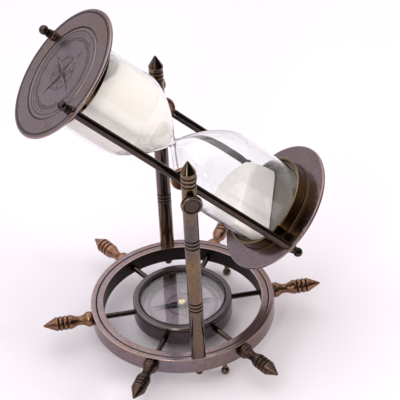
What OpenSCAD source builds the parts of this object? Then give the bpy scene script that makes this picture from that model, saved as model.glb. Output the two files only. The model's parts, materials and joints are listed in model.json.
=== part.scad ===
// Sand timer on a ship's-wheel stand with a compass in the hub.
// Origin: centre of the stand on the surface it rests on. +Z is up, the two
// posts stand on the Y axis, and the timer turns about a Y axis between them.

/* [Wheel stand] */
// Outer radius of the wheel rim
wheel_r = 65; // [62:0.5:70]
// Radial width of the rim
rim_w = 9; // [8:0.5:10]
// Height of the rim
rim_h = 12; // [11:0.5:14]
// Clearance between the rim and the surface, set by the ball feet
foot_h = 12; // [10:0.5:14]
// Number of spokes and handles
spoke_count = 6; // [4:2:8]
// Diameter of a spoke
spoke_d = 3.8; // [3:0.1:4.2]
// Length of a turned handle outside the rim
handle_len = 35; // [32:1:40]
// Angle of the first of the three ball feet
foot_angle = 48; // [44:1:52]

/* [Compass] */
// Outer radius of the compass housing
compass_r = 35; // [33:0.5:37]
// Height of the compass top above the rim top
compass_rise = 1.8; // [1:0.1:3]
// Height of the compass housing with its bezel
compass_h = 15.2; // [15:0.1:16]

/* [Posts] */
// Diameter of a post
post_d = 9.8; // [9:0.1:10.4]
// Height of a post from the rim top to its tip
post_len = 168; // [160:1:176]
// Height of the turning axis above the surface
pivot_z = 162; // [158:1:164]
// Diameter of a thumb screw head
screw_head_d = 14.4; // [13:0.2:16]

/* [Timer] */
// Tilt of the timer at rest, from upright
tilt = 45; // [0:5:60]
// Length over the two end plates
timer_len = 196; // [190:1:200]
// Radius of an end plate
plate_r = 47.5; // [47:0.5:49]
// Thickness of an end plate
plate_t = 2.4; // [2.2:0.1:3]
// Outer radius of the cups that hold the glass
cup_r = 33.2; // [33:0.1:34]
// Height of a cup above its end plate
cup_h = 10; // [8:0.5:12]
// Diameter of a tie rod
rod_d = 5.8; // [5.4:0.1:6.2]
// Distance from the timer's axis to a tie rod
rod_y = 43.5; // [43.2:0.1:43.8]
// Outer radius of a glass bulb
bulb_r = 29.6; // [28:0.1:29.8]
// Wall thickness of the glass
glass_t = 1.5; // [1.2:0.1:1.8]

/* [Hidden] */
$fn = 96;
rim_z = foot_h;
rim_top = rim_z + rim_h;
rim_mid_z = rim_z + rim_h / 2;
rim_in = wheel_r - rim_w;
post_r = post_d / 2;
post_y = wheel_r - rim_w / 2;
post_top = rim_top + post_len;
spoke_in = compass_r - 1.6;    // the spoke ends inside the housing wall
spoke_bore = 9;                // depth of the hole in a handle
hole_gap = 0.05;               // radial clearance of the fitted holes
run_gap = 0.06;                // radial clearance where a part turns
stem_r = 1.7;                  // thumb screw stem
stud_r = 1.5;                  // studs of posts and feet
boss_r = 8.8;                  // nut disc behind each tie rod
boss_t = 3;
head_t = 3.7;
head_back = post_y + post_r + 1.2;
half_len = timer_len / 2;
plate_in = half_len - plate_t;
cup_wall = 1.6;
liner_t = 1.3;
liner_h = 7;
medal_r = cup_r - 0.1;
medal_t = 1.1;
neck_r = 3.5;
dome_len = 42;
bulb_end = plate_in - liner_t;
end_round = 5;
spigot_r = 2;
sand_gap = 0.15;
housing_z = rim_top + compass_rise - compass_h;
bezel_h = 2;
bezel_z = rim_top + compass_rise - bezel_h;
bezel_in = 29.6;
well_r = compass_r - 2.6;
dial_z = housing_z + 6;
dial_t = 0.8;
lens_t = 1.6;
lens_r = well_r - 1.9;
lens_z = bezel_z - 0.1 - lens_t;
needle_z = dial_z + dial_t + 1.2;
needle_t = 0.5;
needle_len = 23;

function numbered(name) = [for (i = [1:spoke_count]) str(name, "_", i)];

patina = [0.50, 0.45, 0.48];
dark = [0.25, 0.21, 0.20];
copper = [0.62, 0.38, 0.24];
gold = [0.72, 0.58, 0.30];

// ---- helpers ----
// puts a part along the outward radius at angle a, at height z
module radial(a, z) rotate([0, 0, a]) translate([0, 0, z]) rotate([0, 90, 0]) children();
// a bar along Y between two distances from the centre, on the side given
module y_bar(r, y0, y1, side)
    scale_y(side) translate([0, y0, 0]) rotate([-90, 0, 0]) cylinder(r = r, h = y1 - y0);
module scale_y(side) if (side < 0) mirror([0, 1, 0]) children(); else children();
// the timer's own frame: its axis becomes the tilted Z, its middle the pivot
module timer() translate([0, 0, pivot_z]) rotate([0, -tilt, 0]) children();
// mirrors to the lower end when end is negative
module at_end(end) if (end < 0) mirror([0, 0, 1]) children(); else children();
// points of a turned groove, seen from outside, at height z on radius r
function groove(z, r, w, deep) =
    [[r, z - w / 2], [r - deep, z - w / 4], [r - deep, z + w / 4], [r, z + w / 2]];

// ---- wheel ----
module wheel_rim() {
    lip = 4;
    color(patina) difference() {
        rotate_extrude() polygon([
            [rim_in + 0.5, rim_z], [wheel_r - 0.6, rim_z], [wheel_r, rim_z + 0.6],
            [wheel_r, rim_top - 0.5], [wheel_r - 0.5, rim_top],
            [wheel_r - lip + 0.5, rim_top], [wheel_r - lip, rim_top - 0.6],
            [wheel_r - lip - 0.5, rim_top],
            [rim_in + 0.4, rim_top], [rim_in, rim_top - 0.4], [rim_in, rim_z + 0.5]]);
        for (i = [0:spoke_count - 1]) radial(i * 360 / spoke_count, rim_mid_z)
            translate([0, 0, rim_in - 1]) cylinder(r = spoke_d / 2 + hole_gap, h = rim_w + 2);
        for (side = [-1, 1]) translate([0, side * post_y, rim_z - 1])
            cylinder(r = stud_r + hole_gap, h = rim_h + 2);
        for (i = [0:2]) rotate([0, 0, foot_angle + i * 120]) translate([post_y, 0, rim_z - 1])
            cylinder(r = stud_r + hole_gap, h = 6);
    }
}

module spoke(i) {
    color(dark) radial((i - 1) * 360 / spoke_count, rim_mid_z)
        translate([0, 0, spoke_in]) cylinder(r = spoke_d / 2, h = wheel_r + spoke_bore - 0.5 - spoke_in);
}

// turned handle: flared collar, neck, grooved grip and cone
module handle(i) {
    grip_r = 5.1;
    cone_at = handle_len - 9.4;
    neck = [for (q = [0:0.125:1]) [3.2 + (grip_r - 3.2) * (0.5 - 0.5 * cos(180 * q)), 9.5 + 6.5 * q]];
    flare = [for (q = [0:0.2:1]) [3.2 + 2 * (0.5 + 0.5 * cos(180 * q)), 4 + 4.5 * q]];
    outline = concat(
        [[0, 0.1], [4.6, 0.1], [5.4, 0.9], [5.5, 2.4], [5.2, 4]], flare, neck,
        groove(17.6, grip_r, 1.3, 0.7), groove(20.9, grip_r, 1.3, 0.7), groove(24.2, grip_r, 1.3, 0.7),
        [[grip_r, cone_at], [grip_r - 0.5, cone_at + 1], [0.7, handle_len - 0.5], [0, handle_len]]);
    color(copper) radial((i - 1) * 360 / spoke_count, rim_mid_z) translate([0, 0, wheel_r])
        difference() {
            rotate_extrude() polygon(outline);
            translate([0, 0, -1]) cylinder(r = spoke_d / 2 + hole_gap, h = spoke_bore + 1);
        }
}

module ball_feet() {
    ball_r = 3;
    color(dark) for (i = [0:2]) rotate([0, 0, foot_angle + i * 120]) translate([post_y, 0, 0])
        union() {
            intersection() {
                translate([0, 0, ball_r - 0.15]) sphere(r = ball_r);
                translate([0, 0, ball_r]) cube(2 * ball_r, center = true);
            }
            translate([0, 0, ball_r]) cylinder(r = 1.7, h = rim_z - ball_r - 0.02);
            cylinder(r = stud_r, h = rim_z + 4.5);
        }
}

// ---- posts ----
module post(side) {
    ring = [for (i = [0:2]) rim_top + 91.5 + 6 + i * 3];
    low_ring = [for (i = [0:2]) rim_top + 34 + 9 + i * 3];
    neck_ring = [for (i = [0:2]) post_top - 19 + i * 3.3];
    groove_deep = 0.55;
    outline = concat(
        [[0, rim_top], [post_r - 0.4, rim_top], [post_r, rim_top + 0.4]],
        [for (z = concat(low_ring, ring, neck_ring)) for (p = groove(z, post_r, 1.4, groove_deep)) p],
        [[post_r, post_top - 9.6], [post_r + 0.15, post_top - 8.8], [post_r - 0.3, post_top - 8],
         [0.7, post_top - 0.6], [0, post_top]]);
    color(dark) translate([0, side * post_y, 0]) difference() {
        union() {
            rotate_extrude() polygon(outline);
            translate([0, 0, rim_z - 2.6]) cylinder(r = stud_r, h = rim_h + 3);
        }
        translate([0, 0, pivot_z]) rotate([90, 0, 0])
            cylinder(r = stem_r + run_gap, h = post_d + 2, center = true);
    }
}

module post_cap_nuts() {
    nut_r = 2.8;
    nut_low = rim_z - 5.4;
    color(gold) for (side = [-1, 1]) translate([0, side * post_y, 0]) difference() {
        rotate_extrude() polygon([
            [0, nut_low], [1.4, nut_low + 0.2], [2.3, nut_low + 0.9], [nut_r, nut_low + 2.2],
            [nut_r, rim_z - 0.02], [0, rim_z - 0.02]]);
        translate([0, 0, rim_z - 2.8]) cylinder(r = stud_r + hole_gap, h = 4);
    }
}

// ---- compass ----
module compass_housing() {
    ledge_r = 28;
    color([0.34, 0.32, 0.32]) difference() {
        rotate_extrude() polygon([
            [0, housing_z], [compass_r - 1, housing_z], [compass_r, housing_z + 1],
            [compass_r, bezel_z - 0.02], [well_r, bezel_z - 0.02], [well_r, dial_z - 0.02],
            [ledge_r, dial_z - 0.02], [ledge_r, housing_z + 2.4], [0, housing_z + 2.4]]);
        for (i = [0:spoke_count - 1]) radial(i * 360 / spoke_count, rim_mid_z)
            translate([0, 0, spoke_in - 0.1]) cylinder(r = spoke_d / 2 + hole_gap, h = 4);
    }
}

module compass_bezel() {
    top = bezel_z + bezel_h;
    color([0.34, 0.32, 0.32]) rotate_extrude() polygon([
        [bezel_in, bezel_z + 0.1], [lens_r + 0.1, bezel_z], [lens_r + 0.1, lens_z],
        [well_r - 0.1, lens_z], [well_r - 0.1, bezel_z], [compass_r, bezel_z],
        [compass_r, top - 0.7], [compass_r - 0.7, top], [bezel_in + 0.5, top],
        [bezel_in, top - 0.4]]);
}

module compass_lens() {
    color([0.85, 0.90, 0.92, 0.35]) translate([0, 0, lens_z]) cylinder(r = lens_r, h = lens_t);
}

module lens_spacer() {
    low = dial_z + dial_t + 0.02;
    color([0.22, 0.20, 0.20]) translate([0, 0, low]) difference() {
        cylinder(r = well_r - 0.3, h = lens_z - low - 0.02);
        translate([0, 0, -1]) cylinder(r = bezel_in - 0.2, h = 10);
    }
}

module compass_dial() {
    mark_in = 22;
    mark_out = 26.5;
    color(patina) difference() {
        translate([0, 0, dial_z]) cylinder(r = well_r - 0.2, h = dial_t);
        translate([0, 0, dial_z - 1]) cylinder(r = 1 + hole_gap, h = 3);
        for (i = [0:15]) rotate([0, 0, i * 22.5])
            translate([mark_in, -0.25, dial_z + dial_t - 0.2]) cube([mark_out - mark_in, 0.5, 1]);
    }
}

module needle_pivot() {
    color(gold) {
        translate([0, 0, housing_z + 2.42]) cylinder(r = 1, h = dial_z + dial_t - housing_z - 2.42);
        translate([0, 0, dial_z + dial_t]) cylinder(r1 = 1, r2 = 0.4, h = 0.9);
        translate([0, 0, dial_z + dial_t + 0.9]) cylinder(r = 0.4, h = 1.7);
    }
}

module compass_needle() {
    half_w = 2.6;
    color([0.20, 0.24, 0.38]) translate([0, 0, needle_z]) difference() {
        linear_extrude(needle_t) polygon([
            [needle_len, 0], [1, half_w], [-1, half_w], [-needle_len, 0], [-1, -half_w], [1, -half_w]]);
        translate([0, 0, -1]) cylinder(r = 0.4 + run_gap, h = 3);
    }
}

module needle_cap() {
    cap_r = 3.5;
    low = needle_z + needle_t;
    dome = [for (a = [0:10:90]) [cap_r * cos(a), low + 0.9 + 1.5 * sin(a)]];
    color(gold) difference() {
        rotate_extrude() polygon(concat([[0, low], [cap_r - 0.3, low]], dome));
        translate([0, 0, low - 1]) cylinder(r = 0.4 + run_gap, h = 2.1);
    }
}

// ---- turning axis ----
module thumb_screw(side) {
    head_r = screw_head_d / 2;
    stem_in = rod_y - rod_d / 2 - boss_t + 0.6;
    color(copper) translate([0, 0, pivot_z]) union() {
        y_bar(stem_r, stem_in, head_back + 1, side);
        y_bar(3, post_y + post_r + 0.25, head_back + 0.5, side);
        scale_y(side) translate([0, head_back, 0]) rotate([-90, 0, 0]) rotate_extrude() polygon([
            [0, 0], [head_r - 0.5, 0], [head_r, 0.5], [head_r, head_t - 0.6],
            [head_r - 0.6, head_t], [head_r - 1.4, head_t], [head_r - 2, head_t - 0.5],
            [0, head_t - 0.5]]);
    }
}

module pivot_spacer(side) {
    color(dark) translate([0, 0, pivot_z]) difference() {
        y_bar(3, rod_y + rod_d / 2 + 0.03, post_y - post_r - 0.2, side);
        y_bar(stem_r + run_gap, 0, post_y, side);
    }
}

module pivot_nut(side) {
    outer_face = rod_y - rod_d / 2 + 0.8;
    color(copper) difference() {
        translate([0, 0, pivot_z]) difference() {
            scale_y(side) translate([0, outer_face - boss_t, 0]) rotate([-90, 0, 0]) rotate_extrude()
                polygon([[0, 0], [boss_r - 0.4, 0], [boss_r, 0.4], [boss_r, boss_t - 0.4],
                         [boss_r - 0.4, boss_t], [0, boss_t]]);
            y_bar(stem_r + run_gap, 0, post_y, side);
        }
        timer() translate([0, side * rod_y, 0])
            cylinder(r = rod_d / 2 + 0.02, h = 4 * boss_r, center = true);
    }
}

// ---- timer frame ----
module tie_rod(side) {
    spigot_end = half_len + 3;
    color(dark) difference() {
        timer() translate([0, side * rod_y, 0]) rotate_extrude() polygon([
            [0, -spigot_end], [spigot_r, -spigot_end], [spigot_r, -plate_in + 0.02],
            [rod_d / 2, -plate_in + 0.02], [rod_d / 2, plate_in - 0.02],
            [spigot_r, plate_in - 0.02], [spigot_r, spigot_end], [0, spigot_end]]);
        translate([0, 0, pivot_z]) y_bar(stem_r + run_gap, 0, post_y, side);
    }
}

// a collar, a bead and a ball turned in one piece, on each rod end
module rod_ball_nuts() {
    low = half_len + 0.02;
    bead = [for (a = [-80:20:80]) [2.5 + 0.6 * cos(a), low + 3.1 + 1.9 * sin(a)]];
    ball = [for (a = [-45:15:90]) [3.3 * cos(a), low + 7.6 + 3.3 * sin(a)]];
    color(gold) timer() for (end = [-1, 1]) for (side = [-1, 1])
        at_end(end) translate([0, side * rod_y, 0]) difference() {
            rotate_extrude() polygon(concat([[0, low], [3.6, low], [3.6, low + 1]], bead, ball));
            translate([0, 0, low - 1]) cylinder(r = spigot_r + hole_gap, h = 4.3);
        }
}

module end_plate(end) {
    edge = [for (a = [-90:30:90]) [plate_r - plate_t / 2 + plate_t / 2 * cos(a),
                                   half_len - plate_t / 2 + plate_t / 2 * sin(a)]];
    color(patina) timer() at_end(end) difference() {
        rotate_extrude() polygon(concat([[0, plate_in]], edge, [
            [cup_r + 0.9, half_len], [cup_r + 0.6, half_len - 0.4], [cup_r, half_len - 0.4],
            [cup_r, half_len - medal_t], [0, half_len - medal_t]]));
        for (side = [-1, 1]) translate([0, side * rod_y, 0])
            cylinder(r = spigot_r + hole_gap, h = 2 * half_len);
    }
}

// engraved closing disc: rings, eight-point rose and a circle of ticks
module medallion(end) {
    low = half_len - medal_t + 0.02;
    top = half_len - 0.1;
    field = top - 0.35;
    long_point = 19;
    short_point = 11;
    color(patina) timer() at_end(end) union() {
        rotate_extrude() polygon([
            [0, low], [medal_r, low], [medal_r, top], [medal_r - 1.6, top], [medal_r - 2, field],
            [medal_r - 3.2, field], [medal_r - 3.5, top - 0.1], [medal_r - 4.3, top - 0.1],
            [medal_r - 4.6, field], [0, field]]);
        translate([0, 0, field - 0.1]) linear_extrude(0.35) {
            polygon([for (i = [0:15]) let (r = i % 4 == 0 ? long_point : i % 2 == 0 ? short_point : 4.2)
                [r * cos(i * 22.5), r * sin(i * 22.5)]]);
            for (i = [0:23]) rotate(i * 15) translate([22.5, -0.3]) square([i % 3 == 0 ? 4 : 2.4, 0.6]);
        }
    }
}

module cup(end) {
    rim_at = plate_in - cup_h;
    color(gold) timer() at_end(end) rotate_extrude() polygon([
        [cup_r - cup_wall, plate_in - 0.02], [cup_r - cup_wall, rim_at + 0.5],
        [cup_r - cup_wall + 0.4, rim_at], [cup_r - 0.3, rim_at], [cup_r + 0.1, rim_at + 0.4],
        [cup_r, rim_at + 1], [cup_r, plate_in - 1.6], [cup_r + 0.7, plate_in - 1.2],
        [cup_r + 0.7, plate_in - 0.02]]);
}

// felt liner that beds the glass in its cup
module liner(end) {
    out_r = cup_r - cup_wall - 0.1;
    in_r = bulb_r + 0.1;
    color([0.30, 0.27, 0.24]) timer() at_end(end) rotate_extrude() polygon([
        [0, bulb_end + 0.02], [in_r, bulb_end + 0.02], [in_r, plate_in - liner_h],
        [out_r, plate_in - liner_h], [out_r, plate_in - 0.02], [0, plate_in - 0.02]]);
}

// ---- glass and sand ----
// radius of the glass's outside at distance s from the neck
function waist(s) = sqrt(s * s + 9) - 3;
function glass_r(s, inset) = s >= dome_len ? bulb_r - inset
    : neck_r + (bulb_r - neck_r) * pow(1 - pow(1 - waist(s) / waist(dome_len), 1.5), 0.92) - inset;
steps = [0, 1.5, 3, 4.5, 6, 8, 10.5, 13.5, 17, 21, 25, 29, 33, 37, 40];
// one bulb's outline, from s_low out to the end, inset from the outside of the glass
function bulb_side(s_low, inset) = concat(
    [for (s = steps) if (s >= s_low) [glass_r(s, inset), s]],
    [[bulb_r - inset, dome_len]],
    [for (a = [0:15:90]) [bulb_r - end_round + (end_round - inset) * cos(a),
                          bulb_end - end_round + (end_round - inset) * sin(a)]]);
function backwards(points) = [for (i = [len(points) - 1:-1:0]) points[i]];

// one blown bulb, open at the neck, where the two are fused face to face
module glass_bulb(end) {
    color([0.88, 0.93, 0.94, 0.35]) timer() at_end(end) rotate_extrude() polygon(concat(
        bulb_side(0, 0), [[0, bulb_end], [0, bulb_end - glass_t]], backwards(bulb_side(0, glass_t))));
}

module bulb_fill(s_low) {
    inset = glass_t + sand_gap;
    rotate_extrude() polygon(concat([[0, s_low]], bulb_side(s_low, inset), [[0, bulb_end - inset]]));
}

// nearly full bulb, its sand level with the ground and a little below the glass
module sand_upper() {
    level = pivot_z + 72;
    color([0.93, 0.90, 0.85]) intersection() {
        timer() bulb_fill(6);
        translate([-150, -50, level - 150]) cube([200, 100, 150]);
    }
}

// heap in the low end, its face slumped to the sand's own slope
module sand_lower() {
    slope = 30;
    heap_at = 70;
    color([0.93, 0.90, 0.85]) intersection() {
        timer() mirror([0, 0, 1]) bulb_fill(25);
        translate([heap_at * sin(tilt), 0, pivot_z - heap_at * cos(tilt)]) rotate([0, -slope, 0])
            translate([-80, -50, -100]) cube([160, 100, 100]);
    }
}

wheel_rim();
for (i = [1:spoke_count]) spoke(i);
for (i = [1:spoke_count]) handle(i);
ball_feet();
post(-1);  // post_front
post(1);  // post_rear
post_cap_nuts();
compass_housing();
compass_bezel();
compass_lens();
lens_spacer();
compass_dial();
needle_pivot();
compass_needle();
needle_cap();
thumb_screw(-1);  // thumb_screw_front
thumb_screw(1);  // thumb_screw_rear
pivot_spacer(-1);  // pivot_spacer_front
pivot_spacer(1);  // pivot_spacer_rear
pivot_nut(-1);  // pivot_nut_front
pivot_nut(1);  // pivot_nut_rear
tie_rod(-1);  // tie_rod_front
tie_rod(1);  // tie_rod_rear
rod_ball_nuts();
end_plate(1);  // end_plate_upper
end_plate(-1);  // end_plate_lower
medallion(1);  // medallion_upper
medallion(-1);  // medallion_lower
cup(1);  // cup_upper
cup(-1);  // cup_lower
liner(1);  // liner_upper
liner(-1);  // liner_lower
glass_bulb(1);  // glass_upper
glass_bulb(-1);  // glass_lower
sand_upper();
sand_lower();
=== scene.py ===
# %% [markdown]
# # A sand timer on a ship's-wheel stand
#
# The timer is a blown glass held between two brass plates. It hangs on two thumb screws
# between the posts of a small ship's wheel, with a compass in the hub. The CAD frame gives
# every size, place and joint, and this file gives each piece its finished shape and metal.
# %% Load the frame
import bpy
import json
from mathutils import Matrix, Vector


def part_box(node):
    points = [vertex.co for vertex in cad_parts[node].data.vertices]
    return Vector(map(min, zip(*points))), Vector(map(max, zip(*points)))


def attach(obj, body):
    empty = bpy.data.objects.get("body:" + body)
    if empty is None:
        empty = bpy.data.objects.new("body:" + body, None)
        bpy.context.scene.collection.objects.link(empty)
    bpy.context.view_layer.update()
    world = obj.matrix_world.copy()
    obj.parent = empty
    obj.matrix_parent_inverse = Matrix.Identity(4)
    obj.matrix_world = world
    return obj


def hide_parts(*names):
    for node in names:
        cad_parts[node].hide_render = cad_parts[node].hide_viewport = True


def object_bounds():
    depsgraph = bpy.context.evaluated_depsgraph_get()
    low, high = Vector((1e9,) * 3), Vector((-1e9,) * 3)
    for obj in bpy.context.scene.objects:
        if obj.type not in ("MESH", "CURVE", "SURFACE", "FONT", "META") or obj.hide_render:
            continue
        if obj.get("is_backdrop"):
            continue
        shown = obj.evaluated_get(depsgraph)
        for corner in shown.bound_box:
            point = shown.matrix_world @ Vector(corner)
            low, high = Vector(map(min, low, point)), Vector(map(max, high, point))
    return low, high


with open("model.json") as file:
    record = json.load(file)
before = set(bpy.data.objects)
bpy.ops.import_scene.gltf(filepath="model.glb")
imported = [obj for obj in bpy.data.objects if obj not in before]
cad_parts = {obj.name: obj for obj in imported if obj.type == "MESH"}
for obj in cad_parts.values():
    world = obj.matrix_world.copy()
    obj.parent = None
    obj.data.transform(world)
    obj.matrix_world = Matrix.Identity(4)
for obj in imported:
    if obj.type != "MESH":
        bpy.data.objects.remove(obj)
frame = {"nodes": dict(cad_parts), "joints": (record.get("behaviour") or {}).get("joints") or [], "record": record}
cad_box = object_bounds()

# %% Tools for this lesson
import json
import math

import bmesh
import bpy
from mathutils import Matrix, Vector, noise

MM = 0.001
FULL_TURN = 2 * math.pi
UP = Vector((0, 0, 1))

# %% [markdown]
# ## Measuring the frame
#
# Nearly everything here was turned on a lathe, so a part is known by its inner and outer
# radius and its two ends along its own axis. The helper reads those from a CAD node. A place
# is a matrix whose Z axis is the part's axis: the wheel's own is the world's, and the timer's
# leans over by its tilt around the pivot.
# %% Measure a turned part about an axis
def measure(node, place=Matrix()):
    """Inner radius, outer radius, low end and high end of a CAD node about a place's Z axis."""
    inward = place.inverted()
    points = [inward @ v.co for v in frame["nodes"][node].data.vertices]
    radii = [math.hypot(p.x, p.y) for p in points]
    heights = [p.z for p in points]
    return min(radii), max(radii), min(heights), max(heights)


# %% Find the timer's axis
joints = {joint["name"]: joint for joint in frame["joints"]}
pivot = Vector(joints["timer_turn"]["pos_m"])
plate_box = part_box("end_plate_upper")
timer_axis = ((plate_box[0] + plate_box[1]) / 2 - pivot).normalized()
tilt = math.atan2(-timer_axis.x, timer_axis.z)
timer_place = Matrix.Translation(pivot) @ Matrix.Rotation(-tilt, 4, "Y")
turned_over = Matrix.Rotation(math.pi, 4, "X")
print(f"pivot {pivot.z / MM:.0f} mm up, timer leaning {math.degrees(tilt):.1f} degrees")

# %% [markdown]
# ## The set
#
# A pale floor and large soft lamps, as in a small product studio. Metal shows only what it
# reflects, so the room matters as much as the lamps: it is bright behind and above the
# object, and darker in front, which gives the rods and cups their black and gold bands.
# %% Camera
azimuth, elevation, roll = math.radians(-8.94), math.radians(38.66), math.radians(-3.02)
towards = Vector((math.sin(azimuth) * math.cos(elevation),
                  -math.cos(azimuth) * math.cos(elevation), math.sin(elevation)))
middle = (Vector(cad_box[0]) + Vector(cad_box[1])) / 2
aim = Vector((0.0159, -0.0026, middle.z - 0.0202))
right = (-towards).cross(UP).normalized()
upward = towards.cross(right)
camera = bpy.data.objects.new("camera", bpy.data.cameras.new("camera"))
bpy.context.scene.collection.objects.link(camera)
level = Matrix((right, upward, towards)).transposed().to_4x4()
distance = 1.443
camera.matrix_world = Matrix.Translation(aim + towards * distance) @ level @ Matrix.Rotation(roll, 4, "Z")
camera.data.lens = 190.3
camera.data.sensor_width = 36
bpy.context.scene.camera = camera
bpy.context.scene.view_settings.view_transform = "Standard"
print("camera", [round(v, 3) for v in camera.location])


# %% Lamps
def softbox(name, place, size, power, colour, target=Vector((0, 0, 0.1))):
    """A square studio lamp at a place, facing the target."""
    lamp = bpy.data.lights.new(name, "AREA")
    lamp.shape = "RECTANGLE"
    lamp.size, lamp.size_y = size
    lamp.energy = power
    lamp.color = colour
    holder = bpy.data.objects.new(name, lamp)
    bpy.context.scene.collection.objects.link(holder)
    facing = (target - Vector(place)).to_track_quat("-Z", "Y")
    holder.matrix_world = Matrix.Translation(place) @ facing.to_matrix().to_4x4()
    return holder


key = softbox("key", (1.30, -0.60, 0.50), (0.60, 0.50), 14.0, (1.0, 0.94, 0.88))
key.visible_glossy = key.visible_transmission = False    # no hard white patch on the glass
softbox("overhead", (-0.30, 0.30, 1.5), (2.6, 2.2), 17.5, (1.0, 0.97, 1.0))
softbox("strip", (-0.55, -0.95, 0.75), (0.12, 0.9), 3.4, (1.0, 0.93, 0.88))
print("three lamps")


# %% Floor
def floor_sheet(half=3.0):
    """One large pale sheet at the height the feet stand on."""
    mesh = bpy.data.meshes.new("floor")
    corners = [(-half, -half, 0), (half, -half, 0), (half, half, 0), (-half, half, 0)]
    mesh.from_pydata(corners, [], [(0, 1, 2, 3)])
    sheet = bpy.data.objects.new("floor", mesh)
    bpy.context.scene.collection.objects.link(sheet)
    return sheet


floor = floor_sheet()
floor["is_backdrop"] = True

# %% [markdown]
# ## Sums in a node tree
#
# Materials and Geometry Nodes both work out numbers with Math nodes. Placing them one by one
# hides the sum, so a Wire stands for one value in a tree: adding or multiplying wires adds
# the node that does it.
# %% A value on a wire
class Wire:
    """A value in a node tree. Sums written with it become Math nodes."""

    def __init__(self, tree, socket):
        self.tree, self.socket = tree, socket

    def math(self, operation, *others):
        """Adds one Math node and returns its result."""
        node = self.tree.nodes.new("ShaderNodeMath")
        node.operation = operation
        for socket, value in zip(node.inputs, (self, *others)):
            plug(self.tree, socket, value)
        return Wire(self.tree, node.outputs[0])

    def __add__(self, other):
        return self.math("ADD", other)

    def __sub__(self, other):
        return self.math("SUBTRACT", other)

    def __mul__(self, other):
        return self.math("MULTIPLY", other)

    def __truediv__(self, other):
        return self.math("DIVIDE", other)

    def __pow__(self, other):
        return self.math("POWER", other)

    def __rsub__(self, other):
        return (self * -1.0) + other

    def within(self, low, high):
        """Runs from 0 at low to 1 at high, and stays there beyond."""
        node = self.tree.nodes.new("ShaderNodeMapRange")
        for socket, value in zip(node.inputs, (self, low, high)):
            plug(self.tree, socket, value)
        return Wire(self.tree, node.outputs[0])


def plug(tree, socket, value):
    """Sets a socket to a plain value, or links a wire to it."""
    if isinstance(value, Wire):
        tree.links.new(value.socket, socket)
    else:
        socket.default_value = value


def part(tree, kind, output=0, settings=(), **inputs):
    """Adds a node, fills its named inputs, and returns one of its outputs as a wire."""
    node = tree.nodes.new(kind)
    for key, value in dict(settings).items():
        setattr(node, key, value)
    for name, value in inputs.items():
        plug(tree, node.inputs[name.replace("_", " ")], value)
    return Wire(tree, node.outputs[output])


def colour_mix(tree, factor, low, high):
    """The colour low where factor is 0, high where it is 1."""
    node = tree.nodes.new("ShaderNodeMix")
    node.data_type = "RGBA"
    for socket, value in zip((node.inputs[0], node.inputs[6], node.inputs[7]), (factor, low, high)):
        plug(tree, socket, value)
    return Wire(tree, node.outputs[2])


def cloud(tree, where, scale, detail=4.0, roughness=0.55):
    """Soft noise of about one patch for each 1/scale of length."""
    return part(tree, "ShaderNodeTexNoise", 0, Vector=where, Scale=scale, Detail=detail,
                Roughness=roughness)


print("helpers: Wire, plug, part, colour_mix, cloud")


# %% The room's light
def light_room():
    """A sky that is bright behind and above, and dim in front."""
    world = bpy.data.worlds.new("room")
    bpy.context.scene.world = world
    world.use_nodes = True
    tree = world.node_tree
    direction = part(tree, "ShaderNodeTexCoord")
    split = tree.nodes.new("ShaderNodeSeparateXYZ")
    plug(tree, split.inputs[0], direction)
    x, y, z = (Wire(tree, socket) for socket in split.outputs)
    bright = (y * 0.8 + z * 0.7 - x * 0.3).within(-0.15, 0.45)
    tint = colour_mix(tree, bright, (0.045, 0.037, 0.040, 1), (1.0, 0.97, 1.0, 1))
    plug(tree, tree.nodes["Background"].inputs["Color"], tint)
    tree.nodes["Background"].inputs["Strength"].default_value = 0.8


light_room()

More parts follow.
